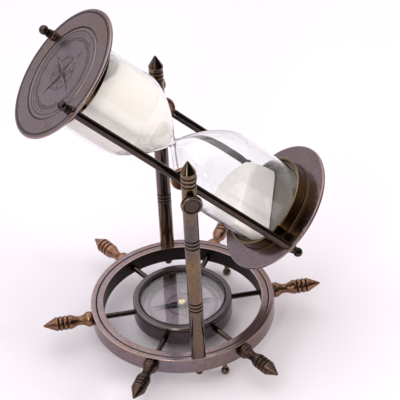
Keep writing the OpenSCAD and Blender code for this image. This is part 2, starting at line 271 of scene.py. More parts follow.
# %% [markdown]
# ## Aged metal
#
# The stand is brass and bronze that has been browned with a chemical patina and waxed. Three
# things make that finish: the patina lies in clouds, it is rubbed through to brighter metal
# on the sharp edges, and soot stays in the grooves. One recipe makes all the metals. It reads
# two masks that the lathe and relief helpers below store on a piece: wear, and a dark mask that
# holds the soot in the grooves and also a painted shade on the rim's inner wall. The lathe
# helper stores a third attribute, "lathe", that runs around the part, so that the tool marks
# follow the turning. An optional shade function adds a painted shade by where a piece stands.
# %% The recipe
def aged_metal(name, patina, second, worn, soot_and_shade, rough=0.25, clouds=28.0, marks=0.25, shade=None):
    """Waxed patina over metal, rubbed bright at the edges and dark in the grooves."""
    material = bpy.data.materials.new(name)
    material.use_nodes = True
    tree = material.node_tree
    shader = tree.nodes["Principled BSDF"]
    shader.inputs["Metallic"].default_value = 1.0
    where = part(tree, "ShaderNodeTexCoord", 3)
    wear = part(tree, "ShaderNodeAttribute", 2, {"attribute_name": "wear"})
    grime_and_shade = part(tree, "ShaderNodeAttribute", 2, {"attribute_name": "grime_and_shade"})
    along = part(tree, "ShaderNodeAttribute", 1, {"attribute_name": "lathe"})
    patches = cloud(tree, where, clouds).within(0.38, 0.68)
    mottle = cloud(tree, where, 420.0, 3.0)
    rings = cloud(tree, along, 1.0, 2.0, 0.7)
    colour = colour_mix(tree, patches, (*patina, 1), (*second, 1))
    # A painted shade, when given, darkens the colour by where the piece stands.
    if shade:
        colour = shade(tree, where, colour)
    tone = colour_mix(tree, mottle.within(0.3, 0.75) * 0.35, colour, (*soot_and_shade, 1))
    rubbed = (wear * (mottle + 0.45)).within(0.20, 0.95)
    tone = colour_mix(tree, rubbed * 0.6, tone, (*worn, 1))
    # The dark mask holds soot in the grooves and a painted shade on the rim's inner wall, both mixed in the dark
    # colour.
    sooty_and_shaded = (grime_and_shade * (mottle + 0.6)).within(0.05, 0.6)
    tone = colour_mix(tree, sooty_and_shaded * 0.9, tone, (*soot_and_shade, 1))
    plug(tree, shader.inputs["Base Color"], tone)
    dull = patches * 0.05 + mottle * 0.06 + rings * 0.08 + sooty_and_shaded * 0.3 + (rough - 0.09)
    plug(tree, shader.inputs["Roughness"], dull)
    height = rings * marks + mottle * 0.35
    bump = part(tree, "ShaderNodeBump", 0, Strength=0.20, Distance=0.00010, Height=height)
    plug(tree, shader.inputs["Normal"], bump)
    return material


# %% Metals of the stand and the timer
def front_painted_shade(tree, where, colour):
    """Painted shade: the copper is made darker towards the front of the stand, nearly black on the two front
    handles.
    """
    split = tree.nodes.new("ShaderNodeSeparateXYZ")
    plug(tree, split.inputs[0], where)
    # Painted shade: darker from 30 mm to 55 mm in front of the middle of the stand.
    front = Wire(tree, split.outputs[1]).within(-0.030, -0.055)
    return colour_mix(tree, front * 0.85, colour, (0.05, 0.038, 0.033, 1))


finishes = {
    "patina_brass": aged_metal("patina_brass", (0.255, 0.205, 0.232), (0.245, 0.165, 0.145),
                               (0.56, 0.40, 0.33), (0.022, 0.016, 0.015), rough=0.19),
    "engraved_brass": aged_metal("engraved_brass", (0.265, 0.218, 0.245), (0.215, 0.172, 0.190),
                                 (0.62, 0.50, 0.38), (0.045, 0.034, 0.032), rough=0.22, marks=0.1),
    "dark_bronze": aged_metal("dark_bronze", (0.118, 0.099, 0.103), (0.225, 0.145, 0.080),
                              (0.40, 0.29, 0.20), (0.012, 0.009, 0.008), rough=0.13, clouds=20.0),
    "black_bronze": aged_metal("black_bronze", (0.062, 0.050, 0.047), (0.095, 0.064, 0.048),
                               (0.38, 0.28, 0.17), (0.012, 0.009, 0.008), rough=0.14),
    "copper_bronze": aged_metal("copper_bronze", (0.370, 0.190, 0.110), (0.240, 0.130, 0.085),
                                (0.62, 0.37, 0.24), (0.022, 0.013, 0.010), rough=0.26,
                                shade=front_painted_shade),
    "yellow_brass": aged_metal("yellow_brass", (0.150, 0.094, 0.036), (0.055, 0.034, 0.017),
                               (0.36, 0.26, 0.14), (0.012, 0.008, 0.006), rough=0.12),
    "polished_brass": aged_metal("polished_brass", (0.80, 0.66, 0.38), (0.70, 0.54, 0.28),
                                 (0.90, 0.78, 0.52), (0.09, 0.06, 0.03), rough=0.14),
    "smoked_brass": aged_metal("smoked_brass", (0.115, 0.097, 0.102), (0.090, 0.074, 0.076),
                               (0.34, 0.28, 0.25), (0.012, 0.009, 0.009), rough=0.24),
    "dial_face": aged_metal("dial_face", (0.300, 0.255, 0.285), (0.235, 0.195, 0.215),
                            (0.36, 0.31, 0.31), (0.120, 0.098, 0.104), rough=0.36, marks=0.1),
    "blued_steel": aged_metal("blued_steel", (0.075, 0.072, 0.090), (0.052, 0.048, 0.060),
                              (0.40, 0.42, 0.46), (0.012, 0.012, 0.018), rough=0.22),
}
print("metals:", ", ".join(finishes))

# %% [markdown]
# ## Glass
#
# Glass is a clear dielectric. Light that casts a shadow through it would come out as hard
# dark rings in a short render, so a shadow ray is let straight through and every other ray
# meets the real thing: colourless, with the index of common glass.
# %% Blown glass and the compass lens
def clear_glass(name, tint, index, rough):
    """Solid clear glass that lets lamps through."""
    material = bpy.data.materials.new(name)
    material.use_nodes = True
    tree = material.node_tree
    shader = tree.nodes["Principled BSDF"]
    shader.inputs["Transmission Weight"].default_value = 1.0
    shader.inputs["IOR"].default_value = index
    shader.inputs["Base Color"].default_value = (*tint, 1)
    where = part(tree, "ShaderNodeTexCoord", 3)
    ripple = cloud(tree, where, 60.0, 2.0)
    bump = part(tree, "ShaderNodeBump", 0, Strength=0.12, Distance=0.0003, Height=ripple)
    plug(tree, shader.inputs["Normal"], bump)
    smear = cloud(tree, where, 90.0, 3.0).within(0.55, 0.80)
    plug(tree, shader.inputs["Roughness"], smear * 0.05 + rough)
    path = part(tree, "ShaderNodeLightPath", 1)
    through = part(tree, "ShaderNodeBsdfTransparent", Color=(*tint, 1))
    choice = tree.nodes.new("ShaderNodeMixShader")
    plug(tree, choice.inputs[0], path)
    tree.links.new(shader.outputs[0], choice.inputs[1])
    tree.links.new(through.socket, choice.inputs[2])
    tree.links.new(choice.outputs[0], tree.nodes["Material Output"].inputs["Surface"])
    return material


finishes["blown_glass"] = clear_glass("blown_glass", (0.98, 0.99, 0.99), 1.45, 0.0)
finishes["lens_glass"] = clear_glass("lens_glass", (0.97, 0.96, 0.97), 1.50, 0.01)


# %% [markdown]
# ## Sand and felt
#
# The sand is fine and nearly white, with a little warm and a little grey grain, and it is
# dull all over. The felt ring that beds the glass in its cup is a brown wool with short
# fibres, so it has a soft sheen at its edges.
# %% Soft and grainy surfaces
def sand_grain():
    """Cream sand: pale grains, a few warm and grey ones, a dull surface."""
    material = bpy.data.materials.new("sand")
    material.use_nodes = True
    tree = material.node_tree
    shader = tree.nodes["Principled BSDF"]
    where = part(tree, "ShaderNodeTexCoord", 3)
    drift = cloud(tree, where, 45.0, 3.0).within(0.35, 0.70)
    grain = cloud(tree, where, 2600.0, 2.0)
    speck = cloud(tree, where, 1500.0, 1.0)
    tone = colour_mix(tree, drift, (0.96, 0.925, 0.895, 1), (0.93, 0.900, 0.875, 1))
    tone = colour_mix(tree, grain.within(0.45, 0.75) * 0.3, tone, (0.70, 0.60, 0.50, 1))
    tone = colour_mix(tree, speck.within(0.68, 0.78) * 0.5, tone, (0.45, 0.42, 0.42, 1))
    plug(tree, shader.inputs["Base Color"], tone)
    shader.inputs["Roughness"].default_value = 0.92
    bump = part(tree, "ShaderNodeBump", 0, Strength=0.5, Distance=0.0003, Height=grain + drift * 0.5)
    plug(tree, shader.inputs["Normal"], bump)
    return material


def wool_felt():
    """Brown felt with loose fibres."""
    material = bpy.data.materials.new("felt")
    material.use_nodes = True
    tree = material.node_tree
    shader = tree.nodes["Principled BSDF"]
    where = part(tree, "ShaderNodeTexCoord", 3)
    fibre = cloud(tree, where, 1800.0, 4.0, 0.7)
    tone = colour_mix(tree, fibre, (0.045, 0.032, 0.024, 1), (0.16, 0.125, 0.095, 1))
    plug(tree, shader.inputs["Base Color"], tone)
    shader.inputs["Roughness"].default_value = 0.95
    shader.inputs["Sheen Weight"].default_value = 0.4
    bump = part(tree, "ShaderNodeBump", 0, Strength=0.7, Distance=0.0004, Height=fibre)
    plug(tree, shader.inputs["Normal"], bump)
    return material


def pale_floor():
    """The studio floor: a matt pale card with a very faint cloud."""
    material = bpy.data.materials.new("floor")
    material.use_nodes = True
    tree = material.node_tree
    shader = tree.nodes["Principled BSDF"]
    where = part(tree, "ShaderNodeTexCoord", 3)
    drift = cloud(tree, where, 4.0, 3.0)
    tone = colour_mix(tree, drift, (0.86, 0.83, 0.88, 1), (0.90, 0.86, 0.90, 1))
    plug(tree, shader.inputs["Base Color"], tone)
    shader.inputs["Roughness"].default_value = 0.8
    return material


finishes["sand"] = sand_grain()
finishes["felt"] = wool_felt()
floor.data.materials.append(pale_floor())

# %% [markdown]
# ## The lathe
#
# A turned part is an outline spun round an axis. Blender's Screw modifier does that too, but
# this helper also softens every corner, keeps one single point at each pole, and stores the
# three attributes that the metal reads. A corner that stands proud gets wear and a corner that
# goes in gets grime. Both fade within half a millimetre, and no wear is put beside a groove,
# because a polishing cloth doesn't reach the soot there.
# %% Soften an outline
def soften(outline, radius, closed, steps=3):
    """Rounds the sharp corners of an outline and adds points beside them."""
    points = [Vector(p) for p in outline]
    rounded = []
    for i, here in enumerate(points):
        if not closed and i in (0, len(points) - 1):
            rounded.append(here)
            continue
        back, ahead = points[i - 1] - here, points[(i + 1) % len(points)] - here
        if back.angle(-ahead) < math.radians(14):
            rounded.append(here)
            continue
        reach = min(radius, back.length * 0.4, ahead.length * 0.4)
        start, end = here + back.normalized() * reach, here + ahead.normalized() * reach
        for k in range(steps + 1):
            t = k / steps
            rounded.append(start * (1 - t) ** 2 + here * (2 * t * (1 - t)) + end * t ** 2)
    fade = 0.5 * MM
    spread = []
    for i, here in enumerate(rounded):
        spread.append(here)
        if not closed and i == len(rounded) - 1:
            break
        after = rounded[(i + 1) % len(rounded)]
        if (after - here).length > 3 * fade:
            step = (after - here).normalized() * fade
            spread += [here + step, after - step]
    return spread


# %% Find the worn and the sooty corners
def corner_masks(points, closed):
    """For each outline point, how much the outline bends out and in within half a millimetre."""
    count = len(points)
    bends = []
    for i, here in enumerate(points):
        if not closed and i in (0, count - 1):
            bends.append(0.0)
            continue
        before, after = here - points[i - 1], points[(i + 1) % count] - here
        cross = before.x * after.y - before.y * after.x
        bends.append(math.atan2(cross, before.dot(after)))
    full = math.radians(70)
    wear, grime_and_shade = [], []
    for here in points:
        gaps = [(bend, (other - here).length) for bend, other in zip(bends, points)]
        out = sum(max(bend, 0) for bend, gap in gaps if gap < 0.35 * MM)
        hollow = sum(max(-bend, 0) for bend, gap in gaps if gap < 0.9 * MM)
        wear.append(min(max(out - hollow, 0) / full, 1.0))
        grime_and_shade.append(min(sum(max(-bend, 0) for bend, gap in gaps if gap < 0.45 * MM) / full, 1.0))
    return wear, grime_and_shade


# %% Spin the outline
def turned(name, outline, place=Matrix(), closed=False, around=96, soft=0.3 * MM, shaded_within=0.0):
    """A turned part: an outline of (radius, height) pairs spun about a place's Z axis.
    An open outline runs up the outside from pole to pole, and a closed one goes once round.
    Inside the radius that the last argument gives, the dark mask is set high: a painted shade on a wall that lies
    in shadow."""
    points = soften(outline, soft, closed)
    wear, grime_and_shade = corner_masks(points, closed)
    # Painted shade: points inside the given radius take a dark mask of 0.8.
    grime_and_shade = [0.8 if point.x < shaded_within else soot_and_shade for point, soot_and_shade in zip(points, grime_and_shade)]
    bm = bmesh.new()
    layers = [bm.verts.layers.float.new(key) for key in ("wear", "grime_and_shade")]
    lathe = bm.verts.layers.float_vector.new("lathe")
    rows, run = [], 0.0
    for i, point in enumerate(points):
        run += (point - points[i - 1]).length if i else 0.0
        copies = 1 if point.x < 1e-7 else around
        row = []
        for k in range(copies):
            turn = FULL_TURN * k / around
            vert = bm.verts.new((point.x * math.cos(turn), point.x * math.sin(turn), point.y))
            vert[layers[0]], vert[layers[1]] = wear[i], grime_and_shade[i]
            vert[lathe] = (1.2 * math.cos(turn), 1.2 * math.sin(turn), run / (0.35 * MM))
            row.append(vert)
        rows.append(row)
    pairs = list(zip(rows, rows[1:] + rows[:1])) if closed else list(zip(rows, rows[1:]))
    for low, high in pairs:
        for k in range(around):
            ring = [low[k % len(low)], low[(k + 1) % len(low)],
                    high[(k + 1) % len(high)], high[k % len(high)]]
            bm.faces.new(list(dict.fromkeys(ring))).smooth = True
    bmesh.ops.recalc_face_normals(bm, faces=bm.faces)
    bm.transform(place)
    return as_object(name, bm)


def as_object(name, bm):
    """Turns a bmesh into an object at the origin."""
    mesh = bpy.data.meshes.new(name)
    bm.to_mesh(mesh)
    bm.free()
    piece = bpy.data.objects.new(name, mesh)
    bpy.context.scene.collection.objects.link(piece)
    return piece


def arc(radius, height, size, start, end, steps=8):
    """Points of a round stretch of outline, in degrees from straight outwards."""
    turns = [math.radians(start + (end - start) * k / steps) for k in range(steps + 1)]
    return [(max(radius + size * math.cos(a), 0), height + size * math.sin(a)) for a in turns]


def groove(radius, height, width=1.4 * MM, deep=0.6 * MM):
    """Points of a turned groove in the side of a part."""
    return [(radius, height - width / 2), (radius - deep, height - width / 4),
            (radius - deep, height + width / 4), (radius, height + width / 2)]


# %% Hand a piece over to the frame
def hand_over(piece, body, slot, *nodes):
    """Gives a finished piece its metal, its body and the CAD nodes that it stands for."""
    piece.data.materials.clear()
    piece.data.materials.append(finishes[slot])
    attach(piece, body)
    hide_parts(*nodes)
    size = [f"{v / MM:.1f}" for v in piece.dimensions]
    print(f"{piece.name}: {len(piece.data.polygons)} faces, {' x '.join(size)} mm, on {body}")


# %% [markdown]
# ## Copies in a ring
#
# Handles, spokes, feet, cap nuts and ball nuts repeat round an axis. Copying them by hand
# would leave many objects to keep in step, so one Geometry Nodes tree makes any ring: it puts
# a point for each copy, turns each by its share of the circle, and joins the copies into one
# mesh.
# %% The ring tree
def ring_tree():
    """A tree that repeats its geometry round the Z axis."""
    tree = bpy.data.node_groups.new("ring_of_copies", "GeometryNodeTree")
    face = tree.interface
    face.new_socket("Geometry", in_out="INPUT", socket_type="NodeSocketGeometry")
    face.new_socket("Count", in_out="INPUT", socket_type="NodeSocketInt")
    face.new_socket("First Angle", in_out="INPUT", socket_type="NodeSocketFloat")
    face.new_socket("Material", in_out="INPUT", socket_type="NodeSocketMaterial")
    face.new_socket("Geometry", in_out="OUTPUT", socket_type="NodeSocketGeometry")
    given = tree.nodes.new("NodeGroupInput")
    item, count, first, metal = (Wire(tree, socket) for socket in given.outputs[:4])
    points = part(tree, "GeometryNodePoints", Count=count)
    share = part(tree, "GeometryNodeInputIndex") * FULL_TURN / count + first
    spin = part(tree, "ShaderNodeCombineXYZ", Z=share)
    turn = part(tree, "FunctionNodeEulerToRotation", Euler=spin)
    copies = part(tree, "GeometryNodeInstanceOnPoints", Points=points, Instance=item, Rotation=turn)
    real = part(tree, "GeometryNodeRealizeInstances", Geometry=copies)
    coated = part(tree, "GeometryNodeSetMaterial", Geometry=real, Material=metal)
    result = tree.nodes.new("NodeGroupOutput")
    plug(tree, result.inputs[0], coated)
    return tree


# %% Run a tree and keep its mesh
def grown(piece, tree, **inputs):
    """Runs a Geometry Nodes tree on a piece and leaves the result in it as a plain mesh."""
    modifier = piece.modifiers.new("grow", "NODES")
    modifier.node_group = tree
    for socket in tree.interface.items_tree:
        key = socket.name.lower().replace(" ", "_")
        if socket.in_out == "INPUT" and key in inputs:
            modifier[socket.identifier] = inputs[key]
    ready = piece.evaluated_get(bpy.context.evaluated_depsgraph_get())
    mesh = bpy.data.meshes.new_from_object(ready)
    piece.modifiers.remove(modifier)
    piece.data = mesh
    return piece


rings = ring_tree()


def ring_of(piece, count, slot, first_angle=0.0):
    """Repeats a piece round the world's Z axis."""
    return grown(piece, rings, count=count, first_angle=first_angle, material=finishes[slot])


# %% [markdown]
# ## The wheel
#
# The rim is one casting, turned on both faces, with a fine groove that sets off its outer
# lip. Each handle is a small turning of its own, threaded on the end of a spoke: a flared
# collar, a slim neck, a grip with three grooves and a cone.
# %% Rim
rim_in, rim_out, rim_low, rim_top = measure("wheel_rim")
rim_middle = (rim_low + rim_top) / 2
lip = rim_out - 4 * MM
# The rim's inner wall is painted dark, a painted shade for the wall in shadow.
rim = turned("rim", [
    (rim_in, rim_low), (rim_out, rim_low), (rim_out, rim_top), (lip + 0.45 * MM, rim_top),
    (lip, rim_top - 0.7 * MM), (lip - 0.45 * MM, rim_top), (rim_in, rim_top)],
    closed=True, around=192, soft=0.55 * MM, shaded_within=rim_in + 0.2 * MM)
hand_over(rim, "base", "patina_brass", "wheel_rim")

# %% Spokes
outward = Matrix.Translation((0, 0, rim_middle)) @ Matrix.Rotation(math.pi / 2, 4, "Y")
_, spoke_r, spoke_low, spoke_high = measure("spoke_1", outward)
spoke_count = sum(name.startswith("spoke_") for name in frame["nodes"])
spokes = turned("spokes", [(0, spoke_low), (spoke_r, spoke_low), (spoke_r, spoke_high),
                           (0, spoke_high)], outward, around=40)
ring_of(spokes, spoke_count, "black_bronze")
hand_over(spokes, "base", "black_bronze", *(f"spoke_{i + 1}" for i in range(spoke_count)))

# %% Handles
_, collar_r, handle_low, handle_high = measure("handle_1", outward)
grip_r, neck_r = collar_r - 0.4 * MM, collar_r - 2.3 * MM
swell = [(neck_r + (grip_r - neck_r) * (1 - math.cos(math.pi * q / 8)) / 2,
          handle_low + (9.4 + 6.6 * q / 8) * MM) for q in range(9)]
cone_at = handle_high - 9.4 * MM
handles = turned("handles", [
    (0, handle_low), (collar_r - 0.9 * MM, handle_low), (collar_r - 0.1 * MM, handle_low + 0.8 * MM),
    (collar_r, handle_low + 2.3 * MM), (collar_r - 0.3 * MM, handle_low + 3.9 * MM),
    (neck_r + 1.0 * MM, handle_low + 5.2 * MM), (neck_r + 0.25 * MM, handle_low + 6.8 * MM)]
    + swell
    + [p for at in (17.5, 20.8, 24.1) for p in groove(grip_r, handle_low + at * MM, 1.3 * MM, 0.7 * MM)]
    + [(grip_r, cone_at), (grip_r - 0.5 * MM, cone_at + 1 * MM),
       (0.75 * MM, handle_high - 0.5 * MM), (0, handle_high)], outward, around=72, soft=0.35 * MM)
ring_of(handles, spoke_count, "copper_bronze")
hand_over(handles, "base", "copper_bronze", *(f"handle_{i + 1}" for i in range(spoke_count)))

# %% Ball feet
foot = Vector(frame["record"]["mounts"][0]["pos_m"])
foot_angle, foot_reach = math.atan2(foot.y, foot.x), foot.length
ball_r = 3 * MM
feet = turned("feet", [(0, 0), (0.85 * MM, 0)] + arc(0, ball_r - 0.15 * MM, ball_r, -72, 55, 9)
              + [(1.7 * MM, ball_r + 3.2 * MM), (1.7 * MM, rim_low), (0, rim_low + 1 * MM)],
              Matrix.Translation((foot_reach, 0, 0)), around=40, soft=0.2 * MM)
ring_of(feet, 3, "dark_bronze", foot_angle)
hand_over(feet, "base", "dark_bronze", "ball_feet")

# %% [markdown]
# ## The posts
#
# Two turned posts stand on the rim. Each has three bands of grooves and a pointed finial, and
# a small cap nut holds it from below. Both posts are the same turning, so one function draws
# the outline and a loop places it front and rear.
# %% Posts and their nuts
def post_outline(radius, low, high):
    """Outline of a post from its foot on the rim to its tip."""
    bands = [low + at * MM for at in (43, 46, 49, 97.5, 100.5, 103.5)]
    bands += [high - at * MM for at in (19, 15.7, 12.4)]
    sides = [p for height in bands for p in groove(radius, height)]
    finial = [(radius, high - 9.8 * MM), (radius + 0.15 * MM, high - 8.8 * MM),
              (radius - 0.3 * MM, high - 8.0 * MM), (0.8 * MM, high - 0.6 * MM), (0, high)]
    return [(0, low), (radius, low)] + sides + finial


def nut_outline(radius, low, high):
    """Outline of a domed cap nut, dome down."""
    return [(0, low), (1.4 * MM, low + 0.2 * MM), (radius - 0.5 * MM, low + 0.9 * MM),
            (radius, low + 2.2 * MM), (radius, high - 1.4 * MM), (radius - 0.35 * MM, high - 1.2 * MM),
            (radius - 0.35 * MM, high - 0.9 * MM), (radius, high - 0.7 * MM), (radius, high), (0, high)]


post_tip, post_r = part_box("post_front")[1].z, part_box("post_front")[1].x
post_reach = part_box("post_rear")[1].y - post_r
for side, word in ((-1, "front"), (1, "rear")):
    stand_at = Matrix.Translation((0, side * post_reach, 0))
    post = turned(f"{word}_post", post_outline(post_r, rim_top, post_tip), stand_at, around=72)
    hand_over(post, "base", "dark_bronze", f"post_{word}")
nuts_low, nuts_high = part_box("post_cap_nuts")
nuts = turned("post_nuts", nut_outline(nuts_high.x, nuts_low.z, nuts_high.z),
              Matrix.Translation((0, post_reach, 0)), around=48)
ring_of(nuts, 2, "yellow_brass")
hand_over(nuts, "base", "yellow_brass", "post_cap_nuts")

# %% [markdown]
# ## Engraving
#
# The dial and the medallions carry raised rings, ticks and a wind rose. A texture could draw
# them, but real relief catches the light along its edges. The disc is a fine polar grid, and
# each point is lifted by the pattern: every feature answers how far inside its edge a point
# is, in millimetres, and the highest one wins. The same distance puts soot just outside each
# edge and a rubbed line just inside it.
# %% Features of a pattern
def ring_line(middle, half):
    """A raised ring."""
    return lambda r, turn: half - abs(r - middle)


def ticks(count, low, high, half, every=1, skip=0):
    """Radial bars, each one of every so many places."""
    def inside(r, turn):
        step = FULL_TURN / count * every
        off = (turn - skip * FULL_TURN / count + step / 2) % step - step / 2
        return min(half - abs(off) * r, (high - low) / 2 - abs(r - (high + low) / 2))
    return inside


def star(points, tip, notch, first=0.0):
    """A star whose points reach from the notch radius to the tip radius."""
    half_step = math.pi / points
    end = Vector((notch * math.cos(half_step), notch * math.sin(half_step)))
    edge = (end - Vector((tip, 0))).normalized()

    def inside(r, turn):
        off = abs((turn - first + half_step) % (2 * half_step) - half_step)
        x, y = r * math.cos(off) - tip, r * math.sin(off)
        return edge.x * y - edge.y * x
    return inside


def half_of(feature, points):
    """The same feature on one side of each point's middle line."""
    def inside(r, turn):
        half_step = math.pi / points
        off = (turn + half_step) % (2 * half_step) - half_step
        return min(feature(r, turn), off * r)
    return inside


# %% Lift a disc into relief
def relief(name, radius, low, field, raised, features, place=Matrix(), around=360, rows=84):
    """A disc with (inside, lift, dark) features on its face, closed round the side and below."""
    bm = bmesh.new()
    wear_layer, grime_layer = (bm.verts.layers.float.new(key) for key in ("wear", "grime_and_shade"))

    def point(r, turn, z=None):
        wear = grime_and_shade = lift = 0.0
        nearest = -9.0
        for inside, height, dark in features:
            depth = inside(r / MM, turn)
            proud = min(max(depth / 0.3 + 0.5, 0), 1)
            lift = max(lift, height * proud * (0.7 + 0.3 * min(max(depth, 0) / 1.2, 1)))
            grime_and_shade = max(grime_and_shade, dark * proud)
            nearest = max(nearest, depth)
        grime_and_shade = max(grime_and_shade, 0.8 - abs(nearest + 0.30) / 0.5)
        wear = max(0, 1 - abs(nearest - 0.15) / 0.35) * (1 - grime_and_shade)
        level = field + raised * lift if z is None else z
        vert = bm.verts.new((r * math.cos(turn), r * math.sin(turn), level))
        vert[wear_layer], vert[grime_layer] = wear, max(grime_and_shade, 0)
        return vert

    grid = [[point(0.0, 0.0)]]
    for i in range(1, rows + 1):
        grid.append([point(radius * i / rows, FULL_TURN * k / around) for k in range(around)])
    grid.append([point(radius, FULL_TURN * k / around, low) for k in range(around)])
    grid.append([point(0.0, 0.0, low)])
    for inner, outer in zip(grid, grid[1:]):
        for k in range(around):
            ring = [inner[k % len(inner)], outer[k % len(outer)],
                    outer[(k + 1) % len(outer)], inner[(k + 1) % len(inner)]]
            bm.faces.new(list(dict.fromkeys(ring))).smooth = True
    bmesh.ops.recalc_face_normals(bm, faces=bm.faces)
    bm.transform(place)
    return as_object(name, bm)


print("features: ring_line, ticks, star, half_of")

# %% [markdown]
# ## The compass
#
# The compass drops into the hub of the wheel: a turned cup, a ring that holds the lens, the
# dial on a ledge inside, and a magnetised needle balanced on a pin. Every one is round, so
# all but the needle come off the lathe.
# %% Housing and bezel
_, hub_r, hub_low, hub_high = measure("compass_housing")
bezel_in, _, _, bezel_top = measure("compass_bezel")
_, dial_r, dial_low, dial_top = measure("compass_dial")
ledge_width, floor_thick = 4.2 * MM, 2.4 * MM
well_r = dial_r + 0.2 * MM
ledge_r = dial_r - ledge_width
floor_top = hub_low + floor_thick
housing = turned("housing", [
    (0, hub_low), (hub_r - 1 * MM, hub_low), (hub_r, hub_low + 1 * MM), (hub_r, hub_high - 0.9 * MM),
    (hub_r - 0.3 * MM, hub_high - 0.6 * MM), (hub_r - 0.3 * MM, hub_high), (well_r, hub_high),
    (well_r, dial_low), (ledge_r, dial_low), (ledge_r, floor_top), (0, floor_top)],
    around=144, soft=0.35 * MM)
hand_over(housing, "base", "smoked_brass", "compass_housing")
lens_low, lens_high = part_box("compass_lens")
seat_r = lens_high.x + 0.1 * MM
bezel = turned("bezel", [
    (bezel_in, lens_high.z + 0.1 * MM), (seat_r, lens_high.z + 0.1 * MM), (seat_r, lens_low.z),
    (well_r - 0.1 * MM, lens_low.z), (well_r - 0.1 * MM, hub_high), (hub_r, hub_high),
    (hub_r, bezel_top - 0.8 * MM), (hub_r - 0.8 * MM, bezel_top), (bezel_in + 1.3 * MM, bezel_top),
    (bezel_in + 1.0 * MM, bezel_top - 0.35 * MM), (bezel_in + 0.7 * MM, bezel_top - 0.05 * MM),
    (bezel_in + 0.3 * MM, bezel_top - 0.05 * MM), (bezel_in, bezel_top - 0.4 * MM)],
    closed=True, around=144, soft=0.25 * MM)
hand_over(bezel, "base", "smoked_brass", "compass_bezel")

# %% Lens and its spacer
lens = turned("lens", [(0, lens_low.z), (lens_high.x, lens_low.z), (lens_high.x, lens_high.z),
                       (0, lens_high.z)], around=144)
hand_over(lens, "base", "lens_glass", "compass_lens")
spacer_in, spacer_r, spacer_low, spacer_high = measure("lens_spacer")
spacer = turned("spacer_ring", [
    (spacer_in, spacer_low), (spacer_r, spacer_low), (spacer_r, spacer_high), (spacer_in, spacer_high)],
    closed=True, around=96)
hand_over(spacer, "base", "smoked_brass", "lens_spacer")

# %% Dial
dial = relief("dial", dial_r, dial_low, dial_top - 0.10 * MM, 0.10 * MM, [
    (ring_line(28.0, 0.16), 1, 0.2), (ticks(72, 23.4, 24.6, 0.12), 1, 0.4),
    (ticks(72, 23.0, 26.4, 0.22, every=9), 1, 0.5), (ring_line(11.0, 0.12), 1, 0.2),
    (star(4, 14.0, 2.8), 1, 0), (half_of(star(4, 14.0, 2.8), 4), 1, 0.3)])
hand_over(dial, "base", "dial_face", "compass_dial")


# %% Needle
def needle_blade(half, width, low, high, hub):
    """A lozenge blade with a ridge along its top, level at the hub where the cap sits."""
    bm = bmesh.new()
    outline = [(half, 0), (hub, width), (-hub, width), (-half, 0), (-hub, -width), (hub, -width)]
    under = [bm.verts.new((x * 0.99, y * 0.94, low)) for x, y in outline]
    waist = [bm.verts.new((x, y, low + (high - low) * 0.45)) for x, y in outline]
    crown = [bm.verts.new((x, 0, high)) for x in (half * 0.97, hub, -hub, -half * 0.97)]
    crown_of = [crown[0], crown[1], crown[2], crown[3], crown[2], crown[1]]
    bm.faces.new(under)
    for i in range(6):
        j = (i + 1) % 6
        bm.faces.new((under[i], under[j], waist[j], waist[i]))
        top = [waist[i], waist[j], crown_of[j], crown_of[i]]
        bm.faces.new(list(dict.fromkeys(top)))
    bmesh.ops.recalc_face_normals(bm, faces=bm.faces)
    bmesh.ops.bevel(bm, geom=bm.edges, offset=0.05 * MM, segments=1, affect="EDGES")
    return as_object("needle", bm)


blade_low, blade_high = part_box("compass_needle")
needle = needle_blade(blade_high.x, blade_high.y, blade_low.z, blade_high.z, 1 * MM)
hand_over(needle, "needle", "blued_steel", "compass_needle")
_, cap_r, cap_low, cap_high = measure("needle_cap")
hub_cap = turned("hub_cap", [(0, cap_low), (cap_r - 0.3 * MM, cap_low), (cap_r, cap_low + 0.3 * MM),
                             (cap_r, cap_low + 0.9 * MM)]
                 + [(cap_r * math.cos(math.radians(a)),
                     cap_low + 0.9 * MM + (cap_high - cap_low - 0.9 * MM) * math.sin(math.radians(a)))
                    for a in (12, 24, 36, 48, 60, 72, 82)] + [(0, cap_high)],
                 around=48, soft=0.15 * MM)
hand_over(hub_cap, "needle", "yellow_brass", "needle_cap")
hub_cap.data.materials[0] = finishes["polished_brass"]      # the same brass, kept bright under the lens
frame["nodes"]["needle_pivot"].data.materials.clear()
frame["nodes"]["needle_pivot"].data.materials.append(finishes["yellow_brass"])

